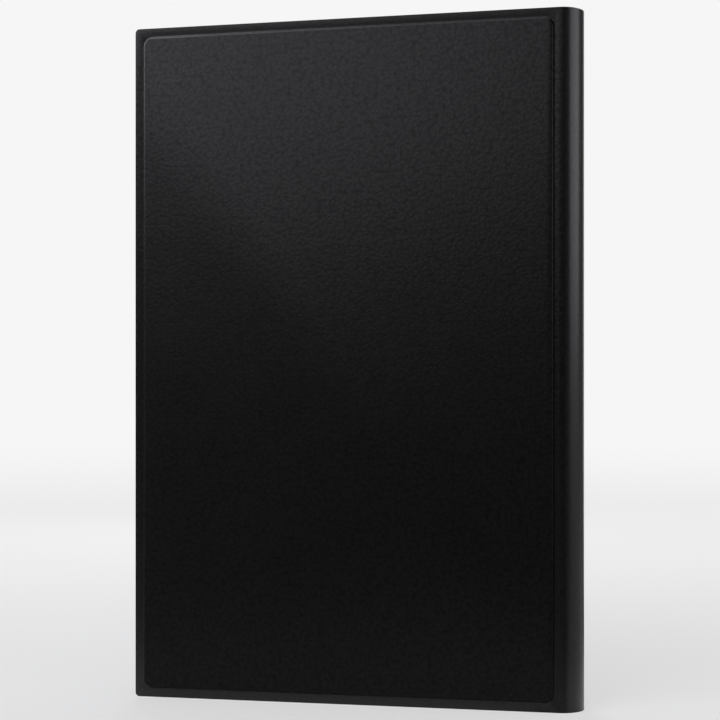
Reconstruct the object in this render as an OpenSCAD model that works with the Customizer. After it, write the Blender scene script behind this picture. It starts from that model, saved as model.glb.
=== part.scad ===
// Folding keyboard case for a tablet, closed and standing on its lower edges.
// X runs from the fore-edge to the spine, Y from the front cover to the back, Z is up.
// All sizes are in millimetres.

/* [Tablet tray] */
// Length of the tablet that the case is made for
tablet_l = 248; // [236:0.5:262]
// Width of that tablet
tablet_w = 158; // [150:0.5:172]
// Thickness of that tablet
tablet_t = 7.4; // [6.5:0.1:9]
// Play around the tablet in its tray
tablet_play = 0.3; // [0.2:0.05:0.6]
// Corner radius of the tablet
tablet_r = 6; // [4:0.5:9]
// Wall thickness of the tray
tray_wall = 1.4; // [1.2:0.1:2]
// Floor thickness of the tray
tray_floor = 1.2; // [1:0.1:1.8]
// Height of the low side walls above the tray floor
tray_side = 2.6; // [1.5:0.1:4]
// Length of each leg of a corner clip
clip_leg = 24; // [16:1:36]
// Thickness of the lip on a corner clip
lip_t = 1; // [0.8:0.1:1.4]
// Reach of that lip over the edge of the tablet
lip_reach = 1.2; // [0.8:0.1:1.6]

/* [Covers] */
// Covers stand out past the tray and the keyboard by this much
overhang = 1.6; // [1:0.1:3]
// Flat pressed rim around the raised panels
rim_w = 3.4; // [2.5:0.1:5]
// Thickness of the outer skin
skin_t = 0.8; // [0.6:0.05:1]
// Thickness of the inner lining
lining_t = 0.5; // [0.4:0.05:0.7]
// Thickness of the board under the front panel
board_t = 1.3; // [1:0.1:1.8]
// Corner radius of the covers
cover_r = 1.6; // [1:0.1:4]
// Corner radius of the raised panels
panel_r = 3.4; // [2.5:0.1:6]
// Width of the sloped edge of a raised panel
bevel_w = 0.8; // [0.5:0.05:1.2]
// Outer radius of the soft folds beside the spine
fold_r = 5.2; // [4:0.1:6.5]
// Flat strip between a raised panel and the fold
hinge_strip = 3.4; // [2:0.1:4.5]
// Rise of the rounded spine in its middle
spine_crown = 0.8; // [0.4:0.05:1.2]
// Thickness of the board in the spine
spine_board_t = 1.2; // [0.8:0.1:1.6]
// Room between the tray and the inside of the spine
spine_gap = 3; // [2:0.1:4]
// Play around a board in its pocket
board_play = 0.1; // [0.05:0.01:0.2]

/* [Camera window] */
// Width of the window for the tablet's camera
camera_w = 15; // [12:0.5:20]
// Height of that window
camera_h = 26; // [18:0.5:34]
// Corner radius of that window
camera_r = 5; // [3:0.5:6]
// Distance of its centre from the fore-edge
camera_from_edge = 24; // [20:0.5:32]
// Distance of its centre from the upper end
camera_from_top = 30; // [26:0.5:40]

/* [Kickstand] */
// Distance of the kickstand's fold from the spine side of the tray
stand_rise = 86; // [70:0.5:95]
// Thickness of the kickstand leaf
leaf_t = 2; // [1.8:0.1:2.6]
// Thickness of the skin on the leaf
leaf_skin_t = 0.7; // [0.6:0.05:0.8]
// Thickness of the lining on the leaf
leaf_lining_t = 0.4; // [0.3:0.05:0.5]
// Play between the leaf and the cover under it
leaf_play = 0.1; // [0.05:0.01:0.2]
// Flat valley beside the fold of the leaf
valley_w = 2.4; // [2.2:0.1:3.5]
// Radius of the leaf magnets
leaf_magnet_r = 4; // [3:0.1:5]
// Thickness of the steel discs that the leaf magnets pull
strike_t = 0.6; // [0.4:0.1:0.8]

/* [Keyboard] */
// Distance of the keyboard from each end of the tray
kb_inset = 2; // [1:0.1:4]
// Thickness of the keyboard's housing
case_t = 4.2; // [4:0.1:5]
// Wall thickness of the housing
case_wall = 1.2; // [1:0.1:1.5]
// Floor thickness of the bottom case
case_floor = 0.8; // [0.7:0.05:1]
// Thickness of the deck
deck_t = 1; // [0.8:0.05:1.2]
// Corner radius of the housing
case_r = 5; // [4:0.1:8]
// Deck margin around the keys and the touchpad
deck_edge = 4.6; // [4.4:0.1:6]
// Height of the rubber feet
feet_t = 0.4; // [0.3:0.05:0.6]
// Play under the feet
seat_play = 0.1; // [0.05:0.05:0.2]
// Gap between the key tops and the closed tray
closed_gap = 0.6; // [0.5:0.1:1]

/* [Keys] */
// Row pitch
row_pitch = 16.4; // [15.5:0.1:17]
// Pitch of the half-height function row
fn_pitch = 11; // [10:0.1:12]
// Gap between neighbouring key caps
key_gap = 2.2; // [1.8:0.1:3]
// Height of a key cap above the deck
key_h = 1.2; // [1.1:0.05:1.5]
// Key travel
key_travel = 1.1; // [0.8:0.05:1.1]
// Wall and top thickness of a key cap
cap_t = 0.8; // [0.6:0.05:0.9]
// Play between a key cap and its window
cap_play = 0.4; // [0.3:0.05:0.6]
// Corner radius of a key cap
cap_r = 1.6; // [1:0.1:2]
// Radius of the stem under a key cap
stem_r = 1.8; // [1.4:0.1:2]
// Base radius of a rubber dome
dome_r = 3; // [2.6:0.1:3.2]

/* [Touchpad] */
// Length of the touchpad along the rows
pad_l = 82; // [70:1:95]
// Depth of the touchpad
pad_w = 42; // [36:0.5:44]
// Space between the touchpad and the space bar row
pad_gap = 5.5; // [5:0.1:8]
// Play around the touchpad
pad_play = 0.3; // [0.25:0.05:0.5]

/* [Controls] */
// Radius of the connect button
button_r = 2.6; // [2:0.1:3.5]
// Height of the connect button above the deck
button_h = 0.5; // [0.4:0.05:0.7]
// Radius of an indicator lens
lens_r = 0.8; // [0.6:0.05:1]
// Distance between indicator lenses
lens_pitch = 7; // [5:0.5:9]
// Length of the power switch knob
knob_l = 3.2; // [2.5:0.1:4]
// Travel of the power switch knob
knob_travel = 2; // [1.5:0.1:2.5]
// Width of the charging socket
socket_w = 8.2; // [7.5:0.1:9]
// Depth of the charging socket
socket_l = 6; // [5:0.1:7]

/* [Hidden] */
$fn = 48;
corner_steps = 6;
key_steps = 3;
tiny = 0.02;
past = 1;

// plan sizes
tray_l = tablet_l + 2 * (tablet_play + tray_wall);
tray_w = tablet_w + 2 * (tablet_play + tray_wall);
tray_r = tablet_r + tablet_play + tray_wall;
kb_l = tray_l - 2 * kb_inset;
rows_w = 5 * row_pitch + fn_pitch;
kb_w = 2 * deck_edge + pad_w + pad_gap + rows_w;
spine_t = skin_t + spine_board_t + lining_t;
cover_l = tray_l + 2 * overhang;
cover_w = overhang + spine_crown + max(tray_w + spine_gap + spine_t, kb_w + hinge_strip + fold_r + past);
fore_x = -cover_w / 2;
spine_x = cover_w / 2;
spine_flat_x = spine_x - spine_crown;
fold_x = spine_flat_x - fold_r;
panel_x0 = fore_x + rim_w;
panel_x1 = fold_x - hinge_strip;
panel_z1 = cover_l - rim_w;
tray_x = fore_x + overhang;
tray_z = overhang;
kb_x = fore_x + overhang;
kb_z = overhang + kb_inset;
stand_x = tray_x + tray_w - stand_rise;

// stack from the front panel to the back panel
fold_t = skin_t + lining_t;
back_rise = leaf_t + leaf_play;
front_t = skin_t + board_t + lining_t;
kb_stack = seat_play + feet_t + case_t + key_h + closed_gap;
tray_t = lip_t + tablet_t + tray_floor;
depth = front_t + kb_stack + tray_t + fold_t + back_rise;
front_y = -depth / 2;
rim_y = front_y + board_t;
inner_y = rim_y + skin_t;
case_y = front_y + front_t + seat_play + feet_t;
tray_y = front_y + front_t + kb_stack;
bay_y = tray_y + lip_t;
floor_y = bay_y + tablet_t;
back_y = floor_y + tray_floor;
back_skin_y = back_y + lining_t;
back_rim_y = back_skin_y + skin_t;
leaf_y = back_rim_y + leaf_play;
back_face_y = back_rim_y + back_rise;
spine_y0 = rim_y + fold_r;
spine_y1 = back_rim_y - fold_r;

// board and leaf details
board_in = bevel_w + 0.4;
spine_in = 2;
leaf_magnet_t = leaf_t - leaf_skin_t - leaf_lining_t;
leaf_magnet_in = 12;
leaf_magnet_z = 44;
strike_r = leaf_magnet_r + 0.5;
leaf_x = stand_x + 0.15;
hold_l = 24;
hold_w = 8;
hold_t = 0.8;
hold_in = 30;
hold_from_edge = 5;
plate_l = 26;
plate_w = 9;

// keyboard levels, measured up from the underside of the bottom case
deck_n = case_t - deck_t;
key_plate_n = 1.4;
key_plate_t = 0.4;
membrane_n = key_plate_n + key_plate_t;
membrane_t = 0.3;
dome_n = membrane_n + membrane_t;
cap_top_n = case_t + key_h;
cap_foot_n = dome_n + 0.2 + key_travel;
stem_n = dome_n + 0.4 + key_travel;
dome_wall = 0.4;
rail_w = 1.6;
rail_in = 14;

// keyboard plan, rows counted up from the space bar
row_v = deck_edge + pad_w + pad_gap;
pad_u = (kb_l - pad_l) / 2;
pad_v = deck_edge;
pad_foot_n = 2.2;
pad_flange = 1;
pad_flange_t = 0.9;
pad_below = 0.1;
side_gap = 5;
cell_l = pad_u - side_gap - deck_edge;
cell_in = 3;
cell_w = pad_w - 2 * cell_in;
cell_t = 2.1;
cell_v = deck_edge + cell_in;
hold_low_v = cell_v + cell_w + past + plate_w / 2;
pcb_u = pad_u + pad_l + side_gap;
pcb_l = kb_l - case_wall - 0.4 - pcb_u;
pcb_n = 1.2;
pcb_t = 0.8;
post_r = 1.6;
post_in = 5;
socket_h = deck_n - case_floor - 0.2;
socket_wall = 0.35;
tongue_t = 0.7;
socket_rise = 26;
socket_v = cell_v + socket_rise;
knob_rise = 10;
knob_v = cell_v + knob_rise;
knob_h = 1;
knob_out = 0.8;
knob_play = 0.2;
switch_l = 8;
switch_w = 3.2;
controls_rise = 24;
button_in = 14;
button_u = pcb_u + button_in;
button_v = cell_v + controls_rise;
button_foot_n = 2.6;
button_flange = 0.7;
lens_in = 26;
lens_u = pcb_u + lens_in;
lens_v = cell_v + controls_rise;
lens_play = 0.05;
screw_r = 0.6;
screw_head_r = 1.4;
screw_head_t = 0.4;
boss_r = 1.5;
boss_in = 2.8;
boss_from_end = boss_in + case_r / 2;
boss_foot_n = 1.6;
foot_r = 4;
foot_in = 12;
tact_l = 4;
tact_t = 0.9;

// key widths in key units, each row from its left end, space bar row first
ROW_UNITS = [
    [1.25, 1, 1.25, 1.25, 4.75, 1, 1, 1, 1, 1],
    [2.25, 1, 1, 1, 1, 1, 1, 1, 1, 1, 1, 1.25, 1],
    [1.75, 1, 1, 1, 1, 1, 1, 1, 1, 1, 1, 1, 1.75],
    [1.5, 1, 1, 1, 1, 1, 1, 1, 1, 1, 1, 1, 1, 1],
    [1, 1, 1, 1, 1, 1, 1, 1, 1, 1, 1, 1, 1, 1.5],
    [1, 1, 1, 1, 1, 1, 1, 1, 1, 1, 1, 1, 1, 1.5]
];
row_units = 14.5;
key_pitch = (kb_l - 2 * deck_edge) / row_units;

// key nodes as name, row, first key, last key
KEY_GROUPS = [
    ["left_control_key", 0, 0, 0],
    ["fn_key", 0, 1, 1],
    ["command_key", 0, 2, 2],
    ["left_alt_key", 0, 3, 3],
    ["space_key", 0, 4, 4],
    ["right_alt_key", 0, 5, 5],
    ["right_control_key", 0, 6, 6],
    ["left_arrow_key", 0, 7, 7],
    ["down_arrow_key", 0, 8, 8],
    ["right_arrow_key", 0, 9, 9],
    ["left_shift_key", 1, 0, 0],
    ["lower_letter_keys", 1, 1, 10],
    ["right_shift_key", 1, 11, 11],
    ["up_arrow_key", 1, 12, 12],
    ["caps_lock_key", 2, 0, 0],
    ["home_letter_keys", 2, 1, 11],
    ["enter_key", 2, 12, 12],
    ["tab_key", 3, 0, 0],
    ["upper_letter_keys", 3, 1, 13],
    ["number_keys", 4, 0, 12],
    ["backspace_key", 4, 13, 13],
    ["escape_key", 5, 0, 0],
    ["function_keys", 5, 1, 13]
];

leather = "#232324";
suede = "#3a3a3c";
fibre = "#8d8272";
plastic = "#1d1e20";
cap_black = "#17181a";
steel = "#9ea2a6";
rubber = "#2a2a2b";
green = "#1f5a3c";
foil = "#b8bbbf";
clear_white = "#d9dde0";

// a quarter of a circle as points
function corner(x, y, r, start, steps = corner_steps) = [
    for (i = [0:steps])
        [x + r * cos(start + 90 * i / steps), y + r * sin(start + 90 * i / steps)]
];

// a rectangle with rounded corners
module rounded(x, y, w, h, r, steps = corner_steps) {
    polygon(concat(
        corner(x + w - r, y + h - r, r, 0, steps),
        corner(x + r, y + h - r, r, 90, steps),
        corner(x + r, y + r, r, 180, steps),
        corner(x + w - r, y + r, r, 270, steps)
    ));
}

// a flat sheet drawn in X and Z, with its front at y
module sheet(y, t) {
    translate([0, y + t, 0]) rotate([90, 0, 0]) linear_extrude(t) children();
}

// outline of a cover, square at the fold and rounded at the fore-edge
module cover_outline() {
    polygon(concat(
        [[fold_x, 0], [fold_x, cover_l]],
        corner(fore_x + cover_r, cover_l - cover_r, cover_r, 90),
        corner(fore_x + cover_r, cover_r, cover_r, 180)
    ));
}

// outline of a raised panel between two X values, drawn in by a margin
module panel_outline(x0, x1, margin) {
    rounded(x0 + margin, rim_w + margin, x1 - x0 - 2 * margin, cover_l - 2 * (rim_w + margin),
        panel_r - margin / 2);
}

// raised panel with sloped edges, from its foot level to its face level
module raised_panel(x0, x1, foot_y, face_y) {
    out = face_y > foot_y ? -tiny : 0;
    hull() {
        sheet(foot_y - (out == 0 ? 0 : tiny), tiny) panel_outline(x0, x1, 0);
        sheet(face_y + out, tiny) panel_outline(x0, x1, bevel_w);
    }
}

module camera_window() {
    rounded(fore_x + camera_from_edge - camera_w / 2, cover_l - camera_from_top - camera_h / 2,
        camera_w, camera_h, camera_r);
}

// centres of the leaf magnets in X and Z
function leaf_magnet_places() = [
    [panel_x1 - leaf_magnet_in, leaf_magnet_z],
    [panel_x1 - leaf_magnet_in, cover_l - leaf_magnet_z]
];

// centres of the keyboard magnets along and across the keyboard
function hold_places() = [
    for (u = [hold_in, kb_l - hold_in], v = [hold_low_v, kb_w - deck_edge - hold_from_edge]) [u, v]
];

module front_skin() {
    color(leather) difference() {
        union() {
            sheet(rim_y, skin_t) cover_outline();
            raised_panel(panel_x0, panel_x1, rim_y, front_y);
        }
        sheet(front_y + skin_t, board_t + past) panel_outline(panel_x0, panel_x1, board_in - board_play);
    }
}

module front_board() {
    color(fibre) difference() {
        sheet(front_y + skin_t, board_t) panel_outline(panel_x0, panel_x1, board_in);
        for (p = hold_places())
            hold_block(p, hold_l + 2 * board_play, hold_w + 2 * board_play, hold_t + past);
    }
}

// a flat block let into the inner face of the front board
module hold_block(p, l, w, t) {
    translate([kb_x + p[1] - w / 2, inner_y - min(t, hold_t), kb_z + p[0] - l / 2]) cube([w, t, l]);
}

module hold_magnets() {
    color(steel) for (p = hold_places()) hold_block(p, hold_l, hold_w, hold_t);
}

module front_lining() {
    color(suede) sheet(inner_y, lining_t) cover_outline();
}

// soft quarter-round fold around a centre, turned to its side of the spine
module fold_strip(y, turn) {
    translate([fold_x, y, 0]) rotate(turn) linear_extrude(cover_l) intersection() {
        difference() {
            circle(fold_r);
            circle(fold_r - fold_t);
        }
        square(fold_r);
    }
}

module front_fold() {
    color(leather) fold_strip(spine_y0, -90);
}

module back_fold() {
    color(leather) fold_strip(spine_y1, 0);
}

module spine_skin() {
    half = (spine_y1 - spine_y0) / 2;
    crown_r = (half * half + spine_crown * spine_crown) / (2 * spine_crown);
    color(leather) translate([spine_flat_x, spine_y0 + half, 0]) linear_extrude(cover_l) intersection() {
        translate([-skin_t, -half]) square([skin_t + spine_crown, 2 * half]);
        translate([spine_crown - crown_r, 0]) circle(crown_r, $fn = 240);
    }
}

module spine_board() {
    color(fibre) translate([spine_flat_x - skin_t - spine_board_t, spine_y0, spine_in])
        cube([spine_board_t, spine_y1 - spine_y0, cover_l - 2 * spine_in]);
}

module spine_lining() {
    color(suede) translate([spine_flat_x - spine_t, spine_y0, 0])
        cube([lining_t, spine_y1 - spine_y0, cover_l]);
}

module back_skin() {
    color(leather) difference() {
        union() {
            sheet(back_skin_y, skin_t) cover_outline();
            raised_panel(panel_x0, stand_x - valley_w, back_rim_y, back_face_y);
        }
        sheet(back_skin_y - past, back_rise + past)
            panel_outline(panel_x0, stand_x - valley_w, board_in - board_play);
        sheet(back_skin_y - past, back_rise + skin_t + 2 * past) camera_window();
    }
}

module back_board() {
    color(fibre) sheet(back_skin_y, back_rise) difference() {
        panel_outline(panel_x0, stand_x - valley_w, board_in);
        camera_window();
    }
}

module back_lining() {
    color(suede) sheet(back_y, lining_t) difference() {
        cover_outline();
        camera_window();
    }
}

module tray_outline(margin) {
    rounded(tray_x + margin, tray_z + margin, tray_w - 2 * margin, tray_l - 2 * margin, tray_r - margin);
}

// the four corner squares that the clips stand in
module clip_squares() {
    for (x = [tray_x, tray_x + tray_w - clip_leg], z = [tray_z, tray_z + tray_l - clip_leg])
        translate([x, z]) square(clip_leg);
}

module tablet_tray() {
    color(plastic) difference() {
        union() {
            sheet(floor_y, tray_floor) tray_outline(0);
            sheet(floor_y - tray_side, tray_side) difference() {
                tray_outline(0);
                tray_outline(tray_wall);
            }
            sheet(tray_y, lip_t + tablet_t) intersection() {
                difference() {
                    tray_outline(0);
                    tray_outline(tray_wall);
                }
                clip_squares();
            }
            sheet(tray_y, lip_t) intersection() {
                difference() {
                    tray_outline(0);
                    tray_outline(tray_wall + tablet_play + lip_reach);
                }
                clip_squares();
            }
        }
        sheet(floor_y - past, tray_floor + 2 * past) camera_window();
        for (p = leaf_magnet_places())
            translate([p[0], back_y + past, p[1]]) rotate([90, 0, 0])
                cylinder(r = strike_r + board_play, h = strike_t + past);
    }
}

module kickstand_strikes() {
    color(steel) for (p = leaf_magnet_places())
        translate([p[0], back_y, p[1]]) rotate([90, 0, 0]) cylinder(r = strike_r, h = strike_t);
}

module kickstand_skin() {
    color(leather) difference() {
        raised_panel(leaf_x, panel_x1, leaf_y, back_face_y);
        sheet(leaf_y - past, leaf_t - leaf_skin_t + past)
            panel_outline(leaf_x, panel_x1, board_in - board_play);
    }
}

module kickstand_board() {
    color(fibre) sheet(leaf_y + leaf_lining_t, leaf_magnet_t) difference() {
        panel_outline(leaf_x, panel_x1, board_in);
        for (p = leaf_magnet_places()) translate(p) circle(leaf_magnet_r + board_play);
    }
}

module kickstand_lining() {
    color(suede) sheet(leaf_y, leaf_lining_t) panel_outline(leaf_x, panel_x1, board_in);
}

module kickstand_magnets() {
    color(steel) sheet(leaf_y + leaf_lining_t, leaf_magnet_t)
        for (p = leaf_magnet_places()) translate(p) circle(leaf_magnet_r);
}

// keyboard frame: u along the rows, v from the fore-edge to the spine, n up through the keys
module on_keyboard() {
    translate([kb_x, case_y, kb_z]) rotate(a = -120, v = [1, 1, 1]) children();
}

// a plate lying in the keyboard frame, from level n
module layer(n, t) {
    translate([0, 0, n]) linear_extrude(t) children();
}

function unit_sum(row, i) = i <= 0 ? 0 : ROW_UNITS[row][i - 1] + unit_sum(row, i - 1);
function key_u(row, i) = deck_edge + key_pitch * unit_sum(row, i) + key_gap / 2;
function key_v(row) = row_v + row * row_pitch + key_gap / 2;
function key_l(row, i) = key_pitch * ROW_UNITS[row][i] - key_gap;
function key_w(row) = (row == 5 ? fn_pitch : row_pitch) - key_gap;

module key_outline(row, i, margin) {
    rounded(key_u(row, i) + margin, key_v(row) + margin, key_l(row, i) - 2 * margin,
        key_w(row) - 2 * margin, cap_r, key_steps);
}

module key_centre(row, i) {
    translate([key_u(row, i) + key_l(row, i) / 2, key_v(row) + key_w(row) / 2]) children();
}

module all_keys() {
    for (row = [0:5], i = [0:len(ROW_UNITS[row]) - 1]) {
        $row = row;
        $key = i;
        children();
    }
}

// screw places around the housing
function screw_places() = concat(
    [for (u = [boss_in, kb_l - boss_in], v = [boss_from_end, kb_w - boss_from_end]) [u, v]],
    [for (u = [pad_u - boss_from_end, kb_l - pad_u + boss_from_end]) [u, boss_in]],
    [[kb_l / 2, kb_w - boss_in]]
);

// places of the posts under the circuit board
function post_places() = [
    for (u = [pcb_u + post_in, pcb_u + pcb_l - post_in - socket_l])
        for (v = [cell_v + post_in, cell_v + cell_w - post_in]) [u, v]
];

module bottom_case() {
    color(plastic) on_keyboard() difference() {
        union() {
            layer(0, case_floor) rounded(0, 0, kb_l, kb_w, case_r);
            layer(0, deck_n) difference() {
                rounded(0, 0, kb_l, kb_w, case_r);
                rounded(case_wall, case_wall, kb_l - 2 * case_wall, kb_w - 2 * case_wall, case_r - case_wall);
            }
            layer(case_floor, key_plate_n - case_floor) for (i = [1:5])
                translate([rail_in, row_v + i * row_pitch - rail_w / 2])
                    square([kb_l - 2 * rail_in, rail_w]);
            layer(case_floor, boss_foot_n - case_floor)
                for (p = screw_places()) translate(p) circle(boss_r);
            layer(case_floor, pcb_n - case_floor)
                for (p = post_places()) translate(p) circle(post_r);
            layer(case_floor, pad_foot_n - pad_below - case_floor)
                translate([pad_u, pad_v + pad_w - rail_w]) square([pad_l, rail_w]);
        }
        layer(-past, boss_foot_n + 2 * past)
            for (p = screw_places()) translate(p) circle(screw_r + lens_play);
        layer(-past, screw_head_t + past)
            for (p = screw_places()) translate(p) circle(screw_head_r + board_play);
        translate([kb_l - case_wall - past, socket_v - socket_w / 2 - board_play, case_floor])
            cube([case_wall + 2 * past, socket_w + 2 * board_play, deck_n]);
        translate([kb_l - case_wall - past, knob_v - knob_l / 2 - knob_play, knob_n() - knob_play])
            cube([case_wall + 2 * past, knob_l + knob_travel + 2 * knob_play, deck_n]);
    }
}

function knob_n() = pcb_n + pcb_t + 0.1;

module top_case() {
    color(plastic) on_keyboard() difference() {
        union() {
            layer(deck_n, deck_t) difference() {
                rounded(0, 0, kb_l, kb_w, case_r);
                all_keys() key_outline($row, $key, -cap_play);
                rounded(pad_u - pad_play, pad_v - pad_play, pad_l + 2 * pad_play, pad_w + 2 * pad_play,
                    cap_r + pad_play);
                translate([button_u, button_v]) circle(button_r + pad_play);
                lens_spots() circle(lens_r + lens_play);
            }
            layer(boss_foot_n, deck_n - boss_foot_n + tiny)
                for (p = screw_places()) translate(p) circle(boss_r);
        }
        layer(boss_foot_n - past, deck_n + past - boss_foot_n)
            for (p = screw_places()) translate(p) circle(screw_r + lens_play);
    }
}

// flat outline of what lies under the keys
module key_bed() {
    translate([deck_edge, row_v]) square([kb_l - 2 * deck_edge, rows_w]);
}

module key_plate() {
    color(steel) on_keyboard() layer(key_plate_n, key_plate_t) key_bed();
}

module membrane() {
    color(clear_white) on_keyboard() layer(membrane_n, membrane_t) key_bed();
}

module rubber_domes() {
    dome_h = stem_n - dome_n;
    color(suede) on_keyboard() all_keys() translate([0, 0, dome_n]) key_centre($row, $key) difference() {
        cylinder(r1 = dome_r, r2 = stem_r, h = dome_h);
        translate([0, 0, -tiny])
            cylinder(r1 = dome_r - dome_wall, r2 = stem_r - dome_wall, h = dome_h - dome_wall);
    }
}

// one hollow key cap with the stem that presses its dome
module key_cap(row, i) {
    layer(cap_foot_n, cap_top_n - cap_t - cap_foot_n) difference() {
        key_outline(row, i, 0);
        key_outline(row, i, cap_t);
    }
    layer(cap_top_n - cap_t, cap_t) key_outline(row, i, 0);
    layer(stem_n, cap_top_n - cap_t - stem_n) key_centre(row, i) circle(stem_r);
}

module keys(group) {
    color(cap_black) on_keyboard() for (i = [group[2]:group[3]]) key_cap(group[1], i);
}

module keyboard_strikes() {
    color(steel) on_keyboard() layer(case_floor, key_plate_n - case_floor - 0.2)
        for (p = hold_places()) translate(p) square([plate_l, plate_w], center = true);
}

module battery() {
    color(foil) on_keyboard() layer(case_floor, cell_t)
        rounded(deck_edge, cell_v, cell_l, cell_w, 1);
}

module circuit_board() {
    color(green) on_keyboard() layer(pcb_n, pcb_t) difference() {
        translate([pcb_u, cell_v]) square([pcb_l, cell_w]);
        translate([kb_l - socket_l - board_play, socket_v - socket_w / 2 - board_play])
            square([socket_l + past, socket_w + 2 * board_play]);
    }
}

module charge_socket() {
    color(steel) on_keyboard() translate([kb_l - socket_l, socket_v - socket_w / 2, case_floor]) {
        difference() {
            cube([socket_l, socket_w, socket_h]);
            translate([socket_wall * 2, socket_wall, socket_wall])
                cube([socket_l, socket_w - 2 * socket_wall, socket_h - 2 * socket_wall]);
        }
        translate([socket_wall, socket_w / 5, (socket_h - tongue_t) / 2])
            cube([socket_l * 0.75, socket_w * 3 / 5, tongue_t]);
    }
}

module switch_body() {
    color(steel) on_keyboard() layer(pcb_n + pcb_t, deck_n - pcb_n - pcb_t - 0.1)
        translate([kb_l - case_wall - past - knob_play - switch_w,
            knob_v - knob_l / 2 - (switch_l - knob_l - knob_travel) / 2])
            square([switch_w, switch_l]);
}

module power_slider() {
    color(cap_black) on_keyboard() translate([kb_l - case_wall - past, knob_v - knob_l / 2, knob_n()])
        cube([case_wall + past + knob_out, knob_l, knob_h - knob_play]);
}

module touchpad() {
    color(cap_black) on_keyboard() {
        layer(pad_foot_n + pad_flange_t - tiny, case_t - pad_below - pad_foot_n - pad_flange_t + tiny)
            rounded(pad_u, pad_v, pad_l, pad_w, cap_r);
        layer(pad_foot_n, pad_flange_t)
            rounded(pad_u - pad_flange, pad_v - pad_flange, pad_l + 2 * pad_flange,
                pad_w + 2 * pad_flange, cap_r);
    }
}

module touchpad_switch() {
    color(steel) on_keyboard() layer(case_floor, tact_t)
        translate([pad_u + pad_l / 2, pad_v + tact_l]) square(tact_l, center = true);
}

module connect_button() {
    color(cap_black) on_keyboard() translate([button_u, button_v, 0]) {
        translate([0, 0, button_foot_n]) cylinder(r = button_r, h = case_t + button_h - button_foot_n);
        translate([0, 0, button_foot_n])
            cylinder(r = button_r + button_flange, h = deck_n - button_foot_n - board_play);
    }
}

module lens_spots() {
    for (i = [0:2]) translate([lens_u + i * lens_pitch, lens_v]) children();
}

module indicator_lenses() {
    color(clear_white) on_keyboard() layer(pcb_n + pcb_t + 0.3, case_t - pcb_n - pcb_t - 0.3)
        lens_spots() circle(lens_r);
}

module rubber_feet() {
    color(rubber) on_keyboard() layer(-feet_t, feet_t)
        for (u = [foot_in, kb_l - foot_in], v = [foot_in, kb_w - foot_in]) translate([u, v]) circle(foot_r);
}

module case_screws() {
    color(steel) on_keyboard() for (p = screw_places()) translate(p) {
        cylinder(r = screw_head_r, h = screw_head_t);
        cylinder(r = screw_r, h = deck_n - board_play);
    }
}

front_skin();
front_board();
front_lining();
hold_magnets();
front_fold();
spine_skin();
spine_board();
spine_lining();
back_fold();
back_skin();
back_board();
back_lining();
tablet_tray();
kickstand_strikes();
kickstand_skin();
kickstand_board();
kickstand_lining();
kickstand_magnets();
bottom_case();
top_case();
key_plate();
membrane();
rubber_domes();
keyboard_strikes();
circuit_board();
battery();
charge_socket();
switch_body();
touchpad_switch();
indicator_lenses();
rubber_feet();
case_screws();
touchpad();
connect_button();
power_slider();
for (k = KEY_GROUPS) keys(k);
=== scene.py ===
# Folding keyboard case for a tablet, closed and standing on its lower edges, spine to the right.
import math

import bmesh
import bpy
from mathutils import Matrix, Vector


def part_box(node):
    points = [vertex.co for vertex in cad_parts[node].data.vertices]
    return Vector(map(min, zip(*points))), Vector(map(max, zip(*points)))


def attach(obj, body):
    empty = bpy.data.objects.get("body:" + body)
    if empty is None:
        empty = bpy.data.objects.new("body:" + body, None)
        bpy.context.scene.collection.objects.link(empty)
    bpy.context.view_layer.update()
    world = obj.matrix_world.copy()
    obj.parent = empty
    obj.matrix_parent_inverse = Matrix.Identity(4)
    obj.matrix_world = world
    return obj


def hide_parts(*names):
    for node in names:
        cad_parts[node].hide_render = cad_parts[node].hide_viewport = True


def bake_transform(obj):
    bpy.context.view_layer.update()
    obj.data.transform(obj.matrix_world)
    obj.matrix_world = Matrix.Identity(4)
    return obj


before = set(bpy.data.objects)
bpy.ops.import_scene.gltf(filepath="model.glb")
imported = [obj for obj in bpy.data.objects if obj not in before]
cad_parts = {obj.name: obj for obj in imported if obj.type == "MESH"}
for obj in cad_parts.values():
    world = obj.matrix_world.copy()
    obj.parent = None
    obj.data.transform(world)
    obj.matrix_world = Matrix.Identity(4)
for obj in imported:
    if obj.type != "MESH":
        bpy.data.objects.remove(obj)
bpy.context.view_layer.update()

# Front cover: one sheet of black coated leather, hot-pressed over a board so that a flat panel stands
# up inside a narrow rim. Beside the panel the same sheet runs round the soft fold and over half the spine.
MM = 0.001
UP, FRONT_OUT = Vector((0, 0, 1)), Vector((0, -1, 0))


class Socket:
    """A value in a material: sums and products add Math nodes, and node() adds any other node."""

    def __init__(self, tree, socket=None):
        self.tree = tree
        self.socket = socket

    def node(self, kind, settings=None, inputs=None, output=0):
        made = self.tree.nodes.new("ShaderNode" + kind)
        for name, value in (settings or {}).items():
            setattr(made, name, value)
        for name, value in (inputs or {}).items():
            if isinstance(value, Socket):
                self.tree.links.new(value.socket, made.inputs[name])
            else:
                made.inputs[name].default_value = value
        return Socket(self.tree, made.outputs[output] if made.outputs else None)

    def math(self, operation, *values):
        return self.node("Math", {"operation": operation}, dict(enumerate(values)))

    def __add__(self, other):
        return self.math("ADD", self, other)

    def __radd__(self, other):
        return self.math("ADD", other, self)

    def __sub__(self, other):
        return self.math("SUBTRACT", self, other)

    def __rsub__(self, other):
        return self.math("SUBTRACT", other, self)

    def __mul__(self, other):
        return self.math("MULTIPLY", self, other)

    def __rmul__(self, other):
        return self.math("MULTIPLY", other, self)


def grey(level):
    return (level, level, level, 1)


def start_material(name):
    """An empty material, its maker of nodes, and the place on the piece in metres."""
    material = bpy.data.materials.new(name)
    material.use_nodes = True
    material.node_tree.nodes.clear()
    maker = Socket(material.node_tree)
    return material, maker, maker.node("TexCoord", output="Object")


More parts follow.
